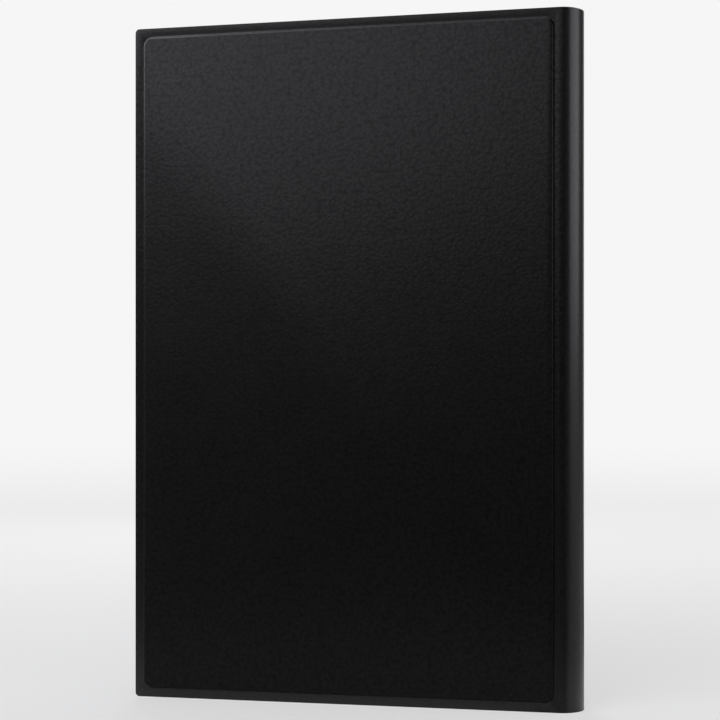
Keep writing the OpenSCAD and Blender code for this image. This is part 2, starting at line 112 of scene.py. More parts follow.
def tone_between(maker, share, low, high):
    """A colour between two, by a share from 0 to 1."""
    return maker.node("Mix", {"data_type": "RGBA"}, {0: share, 6: low, 7: high}, 2)


def noise(maker, place, scale, detail, output=0):
    """Cloudy noise with about as many lumps to a metre as the scale says."""
    return maker.node("TexNoise", {}, {"Vector": place, "Scale": scale, "Detail": detail}, output)


def bumps(maker, height, strength, depth):
    """A normal that follows a height; depth is in metres."""
    return maker.node("Bump", {}, {"Strength": strength, "Distance": depth, "Height": height}, "Normal")


def close_material(maker, **sockets):
    """Ends a material with its shader. Each keyword is a socket's name in small letters."""
    named = {}
    for word, value in sockets.items():
        named[word.replace("_", " ").title().replace("Ior", "IOR")] = value
    shader = maker.node("BsdfPrincipled", {}, named)
    maker.node("OutputMaterial", {}, {"Surface": shader})


def leather(name, dark, light):
    """Black coated leather with a fine pressed pebble grain, polished where its mesh says so."""
    material, maker, place = start_material(name)
    drift = noise(maker, place, scale=45, detail=3)
    patch = noise(maker, place, scale=210, detail=2)
    wander = noise(maker, place, scale=700, detail=2, output="Color")
    bent = maker.node("VectorMath", {"operation": "SCALE"}, {0: wander, "Scale": 0.0006})
    bent = maker.node("VectorMath", {"operation": "ADD"}, {0: place, 1: bent})
    pebble = maker.node("TexVoronoi", {"feature": "SMOOTH_F1"},
                        {"Vector": bent, "Scale": 700, "Smoothness": 0.3})
    pore = noise(maker, place, scale=1400, detail=2)
    height = 1 - pebble + 0.6 * pore
    crest = maker.node("MapRange", {}, {"Value": height, "From Min": 0.45, "From Max": 1.05})
    polish = maker.node("Attribute", {"attribute_name": "polish"}, {}, "Fac")
    close_material(maker, base_color=tone_between(maker, crest, dark, light),
                   roughness=0.24 + 0.08 * drift + 0.06 * patch + 0.06 * pebble,
                   normal=bumps(maker, height, strength=0.5, depth=0.09 * MM), specular_ior_level=0.145,
                   coat_weight=polish + 0.09 * crest, coat_roughness=0.3)
    return material


SHARP_TURN, RIM_TURN, SAME_WAY = math.radians(40), math.radians(50), 0.99
CORNER_STEPS, SHOULDER_STEPS, FOOT_STEPS = 8, 5, 3


def sharp_edges(bm):
    """Smooth shading everywhere except over sharp edges."""
    for face in bm.faces:
        face.smooth = True
    for edge in bm.edges:
        edge.smooth = len(edge.link_faces) == 2 and edge.calc_face_angle(0) < SHARP_TURN


def make_piece(name, bm, material):
    """Makes the shape a piece of the scene with one finish."""
    sharp_edges(bm)
    mesh = bpy.data.meshes.new(name)
    bm.to_mesh(mesh)
    bm.free()
    piece = bpy.data.objects.new(name, mesh)
    bpy.context.scene.collection.objects.link(piece)
    mesh.materials.append(material)
    return piece


def round_rim(piece, width, segments):
    """Rounds the edges that carry a bevel weight."""
    rim = piece.modifiers.new("rim", "BEVEL")
    rim.limit_method, rim.width, rim.segments = "WEIGHT", width, segments


def edges_of(geom):
    return [g for g in geom if isinstance(g, bmesh.types.BMEdge)]


def flat_face(bm, low, high, y, radii):
    """A flat face in X and Z. radii rounds its corners, from low X and low Z on by way of high X."""
    before = set(bm.faces)
    spots = [(low[0], low[1]), (high[0], low[1]), (high[0], high[1]), (low[0], high[1])]
    corners = [bm.verts.new((x, y, z)) for x, z in spots]
    bm.faces.new(corners)
    for corner, radius in zip(corners, radii):
        if radius:
            bmesh.ops.bevel(bm, geom=[corner], offset=radius, segments=CORNER_STEPS, profile=0.5,
                            affect="VERTICES", material=-1)
    bm.normal_update()
    return next(face for face in bm.faces if face not in before)


def drop_face(bm, face):
    """Takes a face out and leaves its edges, in order to join them to another loop."""
    edges = list(face.edges)
    bmesh.ops.delete(bm, geom=[face], context="FACES_ONLY")
    return edges


def press_panel(bm, face, slope, rise, shoulder, foot):
    """Raises a face inside sloped sides whose shoulder and foot are rounded; returns the raised face."""
    foot_edges = list(face.edges)
    bmesh.ops.inset_region(bm, faces=[face], thickness=slope, depth=rise, use_even_offset=True,
                           use_boundary=True)
    normal = face.normal.copy()
    rounded = ((list(face.edges), shoulder, SHOULDER_STEPS), (foot_edges, foot, FOOT_STEPS))
    for edges, offset, segments in rounded:
        if offset:
            bmesh.ops.bevel(bm, geom=edges, offset=offset, segments=segments, profile=0.5, affect="EDGES",
                            material=-1)
    bm.normal_update()
    return max((f for f in bm.faces if f.normal.dot(normal) > SAME_WAY), key=lambda f: f.calc_area())


def face_out(bm, toward):
    """Turns an open sheet so that its largest face looks the given way."""
    bmesh.ops.recalc_face_normals(bm, faces=bm.faces[:])
    if max(bm.faces, key=lambda f: f.calc_area()).normal.dot(toward) < 0:
        bmesh.ops.reverse_faces(bm, faces=bm.faces[:])


cover_lo, cover_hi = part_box("front_skin")
fold_lo, fold_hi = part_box("front_fold")
spine_lo, spine_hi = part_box("spine_skin")
board_lo, board_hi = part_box("front_board")
rim_y, cover_top = fold_lo.y, cover_hi.z
spine_mid = (spine_lo.y + spine_hi.y) / 2
SEAM = 0.02 * MM
SKIN, SKIN_EDGE, SKIN_EDGE_STEPS = 0.8 * MM, 0.38 * MM, 4
COVER_CORNER, PANEL_CORNER = 1.6 * MM, 3.4 * MM
BOARD_MARGIN = 1.2 * MM
SLOPE, SHOULDER, FOOT = 0.3 * MM, 0.9 * MM, 0.35 * MM
# The rim's dip towards the panel, as distances from the panel's foot and depths below the outer rim.
VALLEYS = ((0.9 * MM, 0.1 * MM), (0, 0.3 * MM))
BEND_START, BEND_R, BEND_STEPS, HALVINGS = 1.55 * MM, 7.3 * MM, 18, 40
CROWN_OUT, CROWN_STEPS = 0.45 * MM, 12
bend_x = fold_lo.x - BEND_START
POLISH_START, POLISH_RUN = 1.2 * MM, 2.6 * MM
RIM_BAND, WEAR_HIGH, TOP_WEAR, HINGE_WEAR = 0.36 * MM, 150 * MM, 0.3, 0.35
LONG_EDGE, RIM_CUTS = 100 * MM, 5


def round_spine(bm, side):
    """Carries the sheet's edge beside the panel round the fold and on over half the spine's crown.

    The angle at which the two arcs meet is found by halving.
    """
    start_y = spine_mid - side * (spine_mid - rim_y)
    reach, half = spine_hi.x + CROWN_OUT - bend_x, spine_mid - rim_y
    low, high = 0, math.pi / 2
    for _ in range(HALVINGS):
        turn = (low + high) / 2
        crown = (reach - BEND_R * math.sin(turn)) / (1 - math.sin(turn))
        if BEND_R * (1 - math.cos(turn)) + crown * math.cos(turn) < half:
            low = turn
        else:
            high = turn
    edge = [e for e in bm.edges if all(abs(v.co.x - bend_x) < SEAM and abs(v.co.y - start_y) < SEAM
                                       for v in e.verts)]
    arcs = ((Vector((bend_x, start_y + side * BEND_R, 0)), turn, BEND_STEPS),
            (Vector((spine_hi.x + CROWN_OUT - crown, spine_mid, 0)), math.pi / 2 - turn, CROWN_STEPS))
    for centre, angle, steps in arcs:
        made = bmesh.ops.spin(bm, geom=edge, cent=centre, axis=UP, angle=side * angle, steps=steps,
                              use_merge=False)
        edge = edges_of(made["geom_last"])


def polish_leather(bm, y):
    """Marks where the leather is smooth: on the rim by wear, and over the spine, where it is tight."""
    polish = bm.verts.layers.float.new("polish")
    for vert in bm.verts:
        share = min(max((vert.co.x - bend_x - POLISH_START) / POLISH_RUN, 0), 1)
        worn = 0
        if abs(vert.co.y - y) < RIM_BAND:
            at_top = vert.co.z > board_hi.z + BOARD_MARGIN - SEAM
            worn = TOP_WEAR if at_top else max(1 - vert.co.z / WEAR_HIGH, 0) ** 2
            if vert.co.x > board_hi.x:
                worn *= HINGE_WEAR
        vert[polish] = max(share * share * (3 - 2 * share), worn)


def cut_long_edges(bm, face, cuts):
    """Gives the long sides of a face more points, between which the wear of the rim can change."""
    if cuts:
        sides = [e for e in face.edges if e.calc_length() > LONG_EDGE]
        bmesh.ops.subdivide_edges(bm, edges=sides, cuts=cuts)


def cover_sheet(bm, y, low, high, rise, out, cuts=0):
    """The rim of a cover, which dips into a valley round the panel raised over a board.

    low and high are the board's corners. Returns the panel's face.
    """
    outline = flat_face(bm, (cover_lo.x, 0), (bend_x, cover_top), y, (COVER_CORNER, 0, 0, COVER_CORNER))
    cut_long_edges(bm, outline, cuts)
    for margin, dip in VALLEYS:
        rim = drop_face(bm, outline)
        reach = BOARD_MARGIN + margin
        outline = flat_face(bm, (low.x - reach, low.z - reach), (high.x + reach, high.z + reach),
                            y - out.y * dip, (PANEL_CORNER + margin,) * 4)
        cut_long_edges(bm, outline, cuts)
        bmesh.ops.triangle_fill(bm, edges=rim + list(outline.edges), use_beauty=True, normal=out)
    if outline.normal.dot(out) < 0:
        outline.normal_flip()
    return press_panel(bm, outline, SLOPE, rise + VALLEYS[-1][1], SHOULDER, FOOT)


def weigh_rim(bm):
    """Gives a bevel weight to sharp edges, except on the spine's middle, where two sheets meet."""
    weight = bm.edges.layers.float.new("bevel_weight_edge")
    for edge in bm.edges:
        middle = (edge.verts[0].co + edge.verts[1].co) / 2
        sharp = len(edge.link_faces) == 2 and edge.calc_face_angle(0) > RIM_TURN
        if sharp and abs(middle.y - spine_mid) > SEAM:
            edge[weight] = 1


def finish_leather(name, bm, side, y, out):
    """Carries the pressed sheet over the spine, gives it its thickness and rounds its cut edges."""
    round_spine(bm, side)
    face_out(bm, out)
    bmesh.ops.solidify(bm, geom=bm.faces[:], thickness=SKIN)
    weigh_rim(bm)
    polish_leather(bm, y)
    piece = make_piece(name, bm, cover_leather)
    round_rim(piece, SKIN_EDGE, SKIN_EDGE_STEPS)
    return piece


cover_leather = leather("black_cover_leather", grey(0.0017), grey(0.0042))
bm = bmesh.new()
cover_sheet(bm, rim_y, board_lo, board_hi, rim_y - cover_lo.y, FRONT_OUT, RIM_CUTS)
front_leather = finish_leather("front_cover_leather", bm, 1, rim_y, FRONT_OUT)
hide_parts("front_skin", "front_fold", "spine_skin")
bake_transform(front_leather)

# Front board and its magnets: grey pressed-fibre board under the panel, with four flat nickel-plated
# magnets let into its inner face. They hold the keyboard against the lining.
def dress(node, material):
    """Gives a piece of the frame its finish."""
    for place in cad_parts[node].material_slots:
        place.material = material


def fibre_board(name):
    """Pressed grey-brown board with paler and darker fibres."""
    material, maker, place = start_material(name)
    fleck = maker.node("TexNoise", {}, {"Vector": place, "Scale": 900, "Detail": 6, "Roughness": 0.7})
    cloud = noise(maker, place, scale=90, detail=3)
    tone = tone_between(maker, 0.6 * fleck + 0.4 * cloud, (0.13, 0.11, 0.085, 1), (0.36, 0.31, 0.24, 1))
    close_material(maker, base_color=tone, roughness=0.78 + 0.18 * cloud,
                   normal=bumps(maker, fleck, strength=0.3, depth=0.06 * MM))
    return material


def metal(name, tone, rough, stretch):
    """Rolled or plated metal whose fine marks run along one axis."""
    material, maker, place = start_material(name)
    along = maker.node("Mapping", {}, {"Vector": place, "Scale": stretch})
    marks = noise(maker, along, scale=600, detail=4)
    cloud = noise(maker, place, scale=120, detail=2)
    shade = tone_between(maker, 0.5 * marks + 0.5 * cloud, grey(tone * 0.8), grey(tone))
    close_material(maker, base_color=shade, roughness=rough + 0.2 * marks, metallic=1.0,
                   normal=bumps(maker, marks, strength=0.15, depth=0.02 * MM))
    return material


stiff_board = fibre_board("grey_fibre_board")
nickel_plate = metal("nickel_plate", tone=0.66, rough=0.18, stretch=(1, 1, 1))
dress("front_board", stiff_board)
dress("hold_magnets", nickel_plate)

# Front lining: thin brushed microfibre glued to the inside of the front cover. It runs on through the
# fold and over the spine's board, so the inside is one surface.
BACK_OUT = Vector((0, 1, 0))
LINING_EDGE, LINING_EASE, LINING_EASE_STEPS = 0.35 * MM, 0.12 * MM, 2
LINING_BEND, LINING_BEND_STEPS = 3.6 * MM, 10


def brushed_lining(name):
    """Dark microfibre whose pile is brushed along the height of the case."""
    material, maker, place = start_material(name)
    brushed = maker.node("Mapping", {}, {"Vector": place, "Scale": (1, 1, 0.35)})
    pile = noise(maker, brushed, scale=4200, detail=3)
    cloud = noise(maker, brushed, scale=70, detail=4)
    tone = tone_between(maker, 0.45 * pile + 0.55 * cloud, grey(0.018), grey(0.036))
    close_material(maker, base_color=tone, roughness=0.86 + 0.1 * cloud, sheen_weight=0.25,
                   specular_ior_level=0.2, normal=bumps(maker, pile, strength=0.5, depth=0.08 * MM))
    return material


def verts_of(geom):
    return [g for g in geom if isinstance(g, bmesh.types.BMVert)]


def lining_outline(bm, y, side):
    """The lining's flat part, its turn through the fold and its run over the spine's board.

    Returns the flat face, and the width that the strip is cut to.
    """
    face = flat_face(bm, (cover_lo.x + LINING_EDGE, LINING_EDGE), (bend_x, cover_top - LINING_EDGE), y,
                     (COVER_CORNER, 0, 0, COVER_CORNER))
    edge = [e for e in face.edges if all(abs(v.co.x - bend_x) < SEAM for v in e.verts)]
    centre = Vector((bend_x, spine_mid - side * (spine_mid - rim_y - BEND_R), 0))
    radius = abs(centre.y - y)
    turn = math.asin((spine_lining_lo.x - bend_x) / radius)
    made = bmesh.ops.spin(bm, geom=edge, cent=centre, axis=UP, angle=side * turn, steps=LINING_BEND_STEPS,
                          use_merge=False)
    made = bmesh.ops.extrude_edge_only(bm, edges=edges_of(made["geom_last"]))
    verts = verts_of(made["geom"])
    run = spine_mid - verts[0].co.y
    bmesh.ops.translate(bm, verts=verts, vec=(0, run, 0))
    return face, bend_x - cover_lo.x - LINING_EDGE + radius * turn + abs(run)


def finish_lining(name, bm, inward, thickness, width):
    height = max(v.co.z for v in bm.verts) - min(v.co.z for v in bm.verts)
    area = min(sum(face.calc_area() for face in bm.faces), width * height)
    face_out(bm, inward)
    bmesh.ops.solidify(bm, geom=bm.faces[:], thickness=thickness)
    weigh_rim(bm)
    piece = make_piece(name, bm, microfibre)
    round_rim(piece, LINING_EASE, LINING_EASE_STEPS)
    return piece


spine_lining_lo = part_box("spine_lining")[0]
lining_lo, lining_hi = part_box("front_lining")
microfibre = brushed_lining("brushed_microfibre")
bm = bmesh.new()
cut_width = lining_outline(bm, lining_hi.y, 1)[1]
front_lining = finish_lining("front_cover_lining", bm, BACK_OUT, lining_hi.y - lining_lo.y, cut_width)
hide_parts("front_lining", "spine_lining")
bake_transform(front_lining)

# Spine board: a narrow strip of the same fibre board. It is glued between the leather and the lining, and
# keeps the spine straight between its two folds.
dress("spine_board", stiff_board)

# Back cover: a second sheet of the leather, pressed over a shorter board that carries the camera window.
# The rest of it is flat, as the kickstand leaf lies there. It runs round the back fold to the spine.
back_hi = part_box("back_skin")[1]
back_board_lo, back_board_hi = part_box("back_board")
back_fold_lo, back_fold_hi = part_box("back_fold")
back_lining_lo, back_lining_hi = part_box("back_lining")
back_rim_y = back_fold_hi.y
WINDOW_W, WINDOW_H, WINDOW_CORNER = 15 * MM, 26 * MM, 5 * MM
WINDOW_FROM_EDGE, WINDOW_FROM_TOP = 24 * MM, 30 * MM
WINDOW_TURN_IN = 0.25 * MM


def window_face(bm, y, margin):
    """The camera window's outline, less a margin all round."""
    x, z = cover_lo.x + WINDOW_FROM_EDGE, cover_top - WINDOW_FROM_TOP
    half_w, half_h = WINDOW_W / 2 - margin, WINDOW_H / 2 - margin
    return flat_face(bm, (x - half_w, z - half_h), (x + half_w, z + half_h), y,
                     (WINDOW_CORNER - margin,) * 4)


bm = bmesh.new()
panel = cover_sheet(bm, back_rim_y, back_board_lo, back_board_hi, back_hi.y - back_rim_y, BACK_OUT)
panel_edges = drop_face(bm, panel)
window_edges = drop_face(bm, window_face(bm, back_hi.y, WINDOW_TURN_IN))
bmesh.ops.triangle_fill(bm, edges=panel_edges + window_edges, use_beauty=True, normal=BACK_OUT)
made = bmesh.ops.extrude_edge_only(bm, edges=window_edges)
bmesh.ops.translate(bm, verts=verts_of(made["geom"]), vec=(0, back_lining_hi.y - back_hi.y, 0))
back_leather = finish_leather("back_cover_leather", bm, -1, back_rim_y, BACK_OUT)
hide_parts("back_skin", "back_fold", "spine_skin")
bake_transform(back_leather)
dress("back_board", stiff_board)

# Back lining: the same microfibre, glued inside the back cover and on through its fold to the spine. The
# camera window is cut through it.
bm = bmesh.new()
face, cut_width = lining_outline(bm, back_lining_lo.y, -1)
outer = drop_face(bm, face)
inner = drop_face(bm, window_face(bm, back_lining_lo.y, 0))
bmesh.ops.triangle_fill(bm, edges=outer + inner, use_beauty=True, normal=FRONT_OUT)
back_lining = finish_lining("back_cover_lining", bm, FRONT_OUT, back_lining_hi.y - back_lining_lo.y,
                            cut_width)
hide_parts("back_lining", "spine_lining")
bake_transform(back_lining)

# Tablet tray: an injection-moulded black shell with a fine spark texture, glued to the back lining.
# Four corner clips with lips snap over the tablet.
EASE_TURN, EASE_STEPS = math.radians(35), 2
SAME_SPOT, FLAT_TURN = 0.002 * MM, math.radians(0.5)
TRAY_EASE = 0.3 * MM


def moulded_plastic(name, dark, light, rough, grain):
    """Injection-moulded plastic with the fine texture of a spark-eroded mould."""
    material, maker, place = start_material(name)
    spark = noise(maker, place, scale=2600, detail=3)
    cloud = noise(maker, place, scale=60, detail=3)
    tone = tone_between(maker, 0.4 * spark + 0.6 * cloud, dark, light)
    close_material(maker, base_color=tone, roughness=rough + 0.12 * cloud, specular_ior_level=0.4,
                   normal=bumps(maker, spark, strength=grain, depth=0.04 * MM))
    return material


def eased_copy(name, node, body, material, width):
    """A merged copy of a piece of the frame with its sharp edges eased."""
    bm = bmesh.new()
    bm.from_mesh(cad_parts[node].data)
    bmesh.ops.remove_doubles(bm, verts=bm.verts[:], dist=SAME_SPOT)
    bmesh.ops.dissolve_limit(bm, angle_limit=FLAT_TURN, verts=bm.verts[:], edges=bm.edges[:])
    piece = make_piece(name, bm, material)
    ease = piece.modifiers.new("ease", "BEVEL")
    ease.limit_method, ease.angle_limit, ease.width, ease.segments = "ANGLE", EASE_TURN, width, EASE_STEPS
    ease.harden_normals = True
    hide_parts(node)
    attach(piece, body)


tray_plastic = moulded_plastic("tray_plastic", grey(0.010), grey(0.020), rough=0.46, grain=0.35)
eased_copy("tray_shell", "tablet_tray", "back_cover", tray_plastic, TRAY_EASE)

# Kickstand: a leaf of leather over board, lined with microfibre, that swings out from the back cover on
# its own leather fold. Two disc magnets in it hold to steel discs in the tray's floor.
leaf_lo, leaf_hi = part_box("kickstand_skin")
leaf_lining_lo, leaf_lining_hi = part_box("kickstand_lining")
LEAF_SKIN, LEAF_SHOULDER, LEAF_EDGE, LEAF_EDGE_STEPS = 0.7 * MM, 0.9 * MM, 0.2 * MM, 3
STAND_FOLD_W, STAND_FOLD_H, STAND_FOLD_LAP, STAND_FOLD_STEPS = 2.0 * MM, 0.8 * MM, 0.2 * MM, 12
rolled_steel = metal("rolled_steel", tone=0.55, rough=0.25, stretch=(1, 1, 0.08))
dress("kickstand_strikes", rolled_steel)
dress("kickstand_magnets", nickel_plate)
dress("kickstand_board", stiff_board)
bm = bmesh.new()
face = flat_face(bm, (leaf_lo.x, leaf_lo.z), (leaf_hi.x, leaf_hi.z), leaf_lo.y, (PANEL_CORNER,) * 4)
if face.normal.y < 0:
    face.normal_flip()
press_panel(bm, face, SLOPE, leaf_hi.y - leaf_lo.y, LEAF_SHOULDER, 0)
face_out(bm, BACK_OUT)
bmesh.ops.solidify(bm, geom=bm.faces[:], thickness=LEAF_SKIN)
weigh_rim(bm)
leaf = make_piece("kickstand_leather", bm, cover_leather)
round_rim(leaf, LEAF_EDGE, LEAF_EDGE_STEPS)
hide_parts("kickstand_skin")
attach(leaf, "kickstand")
bm = bmesh.new()
flat_face(bm, (leaf_lining_lo.x, leaf_lining_lo.z), (leaf_lining_hi.x, leaf_lining_hi.z),
          leaf_lining_lo.y, (PANEL_CORNER - BOARD_MARGIN / 2,) * 4)
leaf_lining = finish_lining("kickstand_lining_sheet", bm, FRONT_OUT, leaf_lining_hi.y - leaf_lining_lo.y,
                            leaf_lining_hi.x - leaf_lining_lo.x)
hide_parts("kickstand_lining")
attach(leaf_lining, "kickstand")
bm = bmesh.new()
centre = Vector((leaf_lo.x + SLOPE / 2 - STAND_FOLD_W / 2, back_rim_y, 0))
start = bm.verts.new((centre.x + STAND_FOLD_W / 2, back_rim_y, leaf_lo.z + PANEL_CORNER))
bmesh.ops.spin(bm, geom=[start], cent=centre, axis=UP, angle=math.pi, steps=STAND_FOLD_STEPS,
               use_merge=False)
bmesh.ops.scale(bm, vec=(1, 2 * STAND_FOLD_H / STAND_FOLD_W, 1), space=Matrix.Translation(-centre),
                verts=bm.verts[:])
section = bmesh.ops.contextual_create(bm, geom=bm.verts[:] + bm.edges[:])["faces"]
made = bmesh.ops.extrude_face_region(bm, geom=section)
bmesh.ops.translate(bm, verts=verts_of(made["geom"]),
                    vec=(0, 0, leaf_hi.z - leaf_lo.z - 2 * PANEL_CORNER))
bmesh.ops.recalc_face_normals(bm, faces=bm.faces[:])
stand_fold = make_piece("kickstand_fold", bm, cover_leather)
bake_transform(stand_fold)

# Keyboard base: a moulded tray with screw posts, battery, circuit board, charging socket and power switch.
# Steel strips in it are pulled by the magnets in the front board. Rubber feet are glued underneath.
BASE_EASE, FOOT_EASE, KNOB_EASE = 0.15 * MM, 0.12 * MM, 0.2 * MM


def printed_board(name):
    """Green laminate with copper tracks that show paler under the resist."""
    material, maker, place = start_material(name)
    flat = maker.node("Mapping", {}, {"Vector": place, "Scale": (700, 0, 700)})
    track = maker.node("TexBrick", {"offset": 0.37, "squash": 1.6},
                       {"Vector": flat, "Scale": 1, "Mortar Size": 0.06, "Color1": grey(0),
                        "Color2": grey(0.25), "Mortar": grey(1)}, "Color")
    cloud = noise(maker, place, scale=300, detail=2)
    resist = tone_between(maker, cloud, (0.006, 0.05, 0.018, 1), (0.012, 0.085, 0.03, 1))
    tone = tone_between(maker, 0.6 * track, resist, (0.09, 0.24, 0.07, 1))
    close_material(maker, base_color=tone, roughness=0.28 + 0.2 * cloud,
                   normal=bumps(maker, track, strength=0.2, depth=0.03 * MM))
    return material


def soft_rubber(name, dark, light, rough):
    """Matt rubber or silicone with a faint bloom."""
    material, maker, place = start_material(name)
    bloom = noise(maker, place, scale=800, detail=4)
    tone = tone_between(maker, bloom, dark, light)
    close_material(maker, base_color=tone, roughness=rough + 0.15 * bloom, specular_ior_level=0.3,
                   normal=bumps(maker, bloom, strength=0.2, depth=0.03 * MM))
    return material


housing_plastic = moulded_plastic("housing_plastic", grey(0.012), grey(0.022), rough=0.42, grain=0.3)
foot_rubber = soft_rubber("black_foot_rubber", grey(0.008), grey(0.02), rough=0.7)
eased_copy("base_shell", "bottom_case", "keyboard", housing_plastic, BASE_EASE)
eased_copy("foot_pads", "rubber_feet", "keyboard", foot_rubber, FOOT_EASE)
eased_copy("power_knob_cap", "power_slider", "power_knob", housing_plastic, KNOB_EASE)
dress("battery", metal("pouch_foil", tone=0.5, rough=0.32, stretch=(1, 1, 0.5)))
dress("circuit_board", printed_board("green_laminate"))
dress("charge_socket", nickel_plate)
for node in ("switch_body", "touchpad_switch", "keyboard_strikes"):
    dress(node, rolled_steel)
dress("case_screws", metal("screw_steel", tone=0.42, rough=0.3, stretch=(1, 1, 1)))

# Switch bed: a steel plate, a printed film with the contacts, and a silicone dome below each key. The
# dome gives way when its key is pressed and lifts it again.
def contact_film(name):
    """Pale film with dark printed tracks."""
    material, maker, place = start_material(name)
    flat = maker.node("Mapping", {}, {"Vector": place, "Scale": (260, 0, 260)})
    track = maker.node("TexWave", {"wave_profile": "SIN"},
                       {"Vector": flat, "Scale": 1, "Distortion": 3, "Detail": 1})
    printed = maker.node("MapRange", {}, {"Value": track, "From Min": 0.72, "From Max": 0.82})
    tone = tone_between(maker, printed, (0.5, 0.52, 0.5, 1), (0.2, 0.2, 0.2, 1))
    close_material(maker, base_color=tone, roughness=0.2 + 0.3 * printed)
    return material


KEY_GAP = 2.2 * MM
KEY_LEGENDS = {
    "left_control_key": ["ctrl"], "fn_key": ["fn"], "command_key": ["cmd"], "left_alt_key": ["alt"],
    "space_key": [""], "right_alt_key": ["alt"], "right_control_key": ["ctrl"], "left_arrow_key": ["left"],
    "down_arrow_key": ["down"], "right_arrow_key": ["right"],
    "left_shift_key": ["shift"], "lower_letter_keys": [*"ZXCVBNM", "< ,", "> .", "? /"],
    "right_shift_key": ["shift"], "up_arrow_key": ["up"],
    "caps_lock_key": ["caps lock"], "home_letter_keys": [*"ASDFGHJKL", ": ;", "\" '"],
    "enter_key": ["enter"],
    "tab_key": ["tab"], "upper_letter_keys": [*"QWERTYUIOP", "{ [", "} ]", "| \\"],
    "number_keys": ["~ `", "! 1", "@ 2", "# 3", "$ 4", "% 5", "^ 6", "& 7", "* 8", "( 9", ") 0", "_ -",
                    "+ ="],
    "backspace_key": ["backspace"],
    "escape_key": ["esc"], "function_keys": [*(f"F{n}" for n in range(1, 13)), "del"],
}


def key_spots(node):
    """Low and high corners of each key of a node, along the rows in Z and across them in X."""
    low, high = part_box(node)
    count = len(KEY_LEGENDS[node])
    pitch = (high.z - low.z + KEY_GAP) / count
    return [(Vector((low.x, low.y, low.z + k * pitch)),
             Vector((high.x, high.y, low.z + (k + 1) * pitch - KEY_GAP))) for k in range(count)]


dress("key_plate", rolled_steel)
dress("membrane", contact_film("contact_film"))
dome_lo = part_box("rubber_domes")[0]
# Distances from a dome's axis and heights over the film, in millimetres.
DOME_PROFILE = ((3.0, 0.0), (3.0, 0.22), (2.45, 0.3), (1.75, 1.15), (1.45, 1.42), (1.1, 1.5), (0.9, 1.38),
                (0.0, 1.36))
DOME_STEPS, DOME_SPOT = 20, 0.001 * MM
bm = bmesh.new()
for node in KEY_LEGENDS:
    for low, high in key_spots(node):
        middle = (low + high) / 2
        spots = [bm.verts.new((middle.x + r * MM, dome_lo.y + h * MM, middle.z)) for r, h in DOME_PROFILE]
        profile = [bm.edges.new(pair) for pair in zip(spots, spots[1:])]
        bmesh.ops.spin(bm, geom=spots + profile, cent=(middle.x, 0, middle.z), axis=BACK_OUT,
                       angle=2 * math.pi, steps=DOME_STEPS, use_merge=True)
bmesh.ops.remove_doubles(bm, verts=bm.verts[:], dist=DOME_SPOT)
bmesh.ops.holes_fill(bm, edges=bm.edges[:], sides=0)
bmesh.ops.recalc_face_normals(bm, faces=bm.faces[:])
silicone = soft_rubber("grey_silicone", grey(0.22), grey(0.32), rough=0.5)
domes = make_piece("silicone_domes", bm, silicone)
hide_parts("rubber_domes")
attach(domes, "keyboard")

# Keyboard deck: the moulded top half with a window for each key, the recess of the touchpad and the holes
# of the connect button and the three indicator lights. It is screwed to the base from below.
DECK_EASE, BUTTON_EASE = 0.18 * MM, 0.12 * MM
eased_copy("deck_shell", "top_case", "keyboard", housing_plastic, DECK_EASE)
eased_copy("connect_button_cap", "connect_button", "connect_cap", housing_plastic,
           BUTTON_EASE)


def speckled(name, dark, light, scale, rough, rough_range):
    """A pale plain finish with a fine speckle."""
    material, maker, place = start_material(name)
    speck = noise(maker, place, scale=scale, detail=2)
    close_material(maker, base_color=tone_between(maker, speck, dark, light),
                   roughness=rough + rough_range * speck)
    return material


frosted_lens = speckled("frosted_lens", grey(0.55), grey(0.75), scale=1500, rough=0.2, rough_range=0.2)
dress("indicator_lenses", frosted_lens)

# Touchpad: a thin satin plate in the deck's recess. It tilts about its far edge and presses a small switch
# below its near edge.
PAD_EASE = 0.2 * MM
pad_plastic = moulded_plastic("touchpad_satin", grey(0.016), grey(0.024), rough=0.3, grain=0.08)
eased_copy("touchpad_plate_top", "touchpad", "touchpad_plate", pad_plastic, PAD_EASE)

# Key caps: low moulded caps with a shallow dish and soft edges, and printed white legends. The two keys
# under the forefingers carry a raised bar.
CAP_CORNER, CAP_CORNER_STEPS = 1.5 * MM, 5
CAP_EDGE, CAP_EDGE_STEPS, CAP_EDGE_TURN = 0.35 * MM, 3, math.radians(57)
DISH, DISH_RIM = 0.08 * MM, 1.1 * MM
INK, INK_SPOT, INK_CURVE_STEPS = 0.012 * MM, 0.00024 * MM, 3
INK_HEIGHT, SIGN_HEIGHT, WORD_HEIGHT = 4.3 * MM, 3.096 * MM, 2.5 * MM
SIGN_PLACES = (2.4 * MM, -2.4 * MM)
ARROW_SHARE = 0.34
HOME_BAR, HOME_BAR_IN = Vector((0.45 * MM, 0.16 * MM, 2.8 * MM)), 2.6 * MM
ON_KEY = Matrix(((0, 1, 0, 0), (0, 0, 1, 0), (1, 0, 0, 0), (0, 0, 0, 1)))
ARROW_TURN = {"right": 0, "up": 90, "left": 180, "down": 270}


def block(bm, low, high):
    """Adds a box between two corners and returns its points."""
    made = bmesh.ops.create_cube(bm, size=1)["verts"]
    bmesh.ops.scale(bm, vec=high - low, verts=made)
    bmesh.ops.translate(bm, vec=(low + high) / 2, verts=made)
    return made


